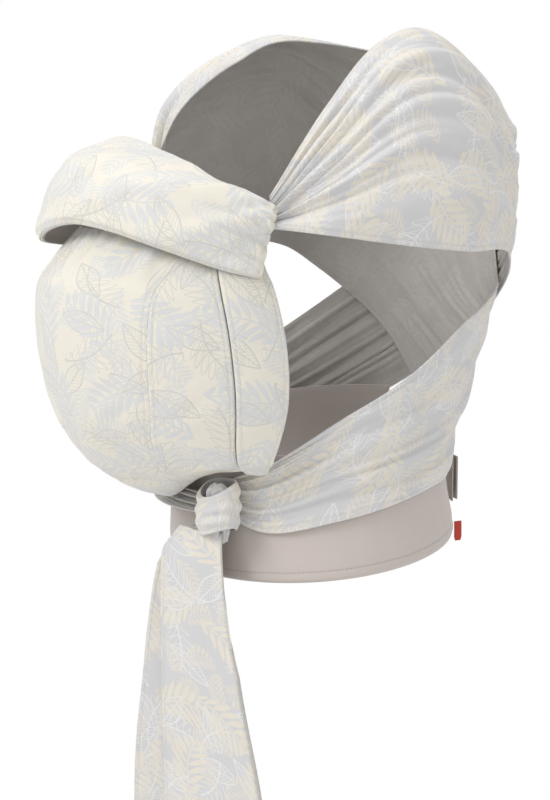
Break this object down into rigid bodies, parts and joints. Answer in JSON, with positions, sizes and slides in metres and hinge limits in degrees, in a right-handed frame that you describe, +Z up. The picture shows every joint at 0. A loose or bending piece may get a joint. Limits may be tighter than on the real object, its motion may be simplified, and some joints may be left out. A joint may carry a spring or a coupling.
{
  "type": "baby wrap sling",
  "caption": "Hybrid wrap baby carrier: padded belt, gathered pouch with a padded neck roll, and two long wrap straps crossed at the back and knotted in front.",
  "frame": {"origin": "middle of the waist opening, at half the height of the waistband", "axes": "+Z up along the wearer's body, -Y the way the wearer faces, +X the wearer's left"},
  "size_m": [0.331, 0.4279, 0.9486],
  "materials": {
    "pouch_cloth": "woven cotton, cream ground with pale grey foliage",
    "strap_cloth": "woven cotton, pale grey ground with cream foliage",
    "lining_cloth": "plain woven cotton, taupe grey",
    "belt_cloth": "plain canvas, taupe",
    "padding": "soft foam and batting",
    "webbing": "ribbed polyester webbing",
    "buckle_plastic": "moulded acetal, satin",
    "tab_red": "red woven tape"
  },
  "bodies": {
    "root": {"waistband_lining": "belt_cloth", "waistband_pad": "padding", "waistband_cover": "belt_cloth", "strap_left": "strap_cloth", "strap_right": "strap_cloth", "pouch_lining": "lining_cloth", "pouch_middle": "pouch_cloth", "pouch_side_left": "pouch_cloth", "pouch_side_right": "pouch_cloth", "leg_pad_left": "padding", "leg_pad_right": "padding", "side_flap_left": "pouch_cloth", "side_flap_right": "pouch_cloth", "seat_cloth": "lining_cloth", "neck_roll_cover": "pouch_cloth", "neck_roll_pad": "padding", "neck_roll_facing": "lining_cloth", "knot_core": "strap_cloth", "knot_wrap": "strap_cloth", "buckle_female": "buckle_plastic", "webbing_left": "webbing", "webbing_right": "webbing"},
    "tail_front": {"tail_front": "strap_cloth"},
    "tail_rear": {"tail_rear": "strap_cloth"},
    "plug": {"buckle_male": "buckle_plastic", "buckle_prong_upper": "buckle_plastic", "buckle_prong_lower": "buckle_plastic", "webbing_loose_end": "webbing"},
    "tab": {"red_tab": "tab_red"}
  },
  "joints": [
    {"name": "tail_front_swing", "type": "hinge", "parent": "root", "child": "tail_front", "pos_m": [0.0571, -0.1401, -0.034], "axis": [-0.9272, -0.3746, 0], "range_deg": [0, 60]},
    {"name": "tail_rear_swing", "type": "hinge", "parent": "root", "child": "tail_rear", "pos_m": [0.0447, -0.1269, -0.034], "axis": [-0.3746, 0.9272, 0], "range_deg": [0, 35]},
    {"name": "plug_release", "type": "slide", "parent": "root", "child": "plug", "axis": [-1, 0, 0], "range_m": [0, 0.026], "deforming": ["buckle_prong_upper", "buckle_prong_lower"]},
    {"name": "tab_flip", "type": "hinge", "parent": "root", "child": "tab", "pos_m": [0.0707, 0.106, -0.0358], "axis": [0.8746, -0.4848, 0], "range_deg": [0, 80]}
  ]
}
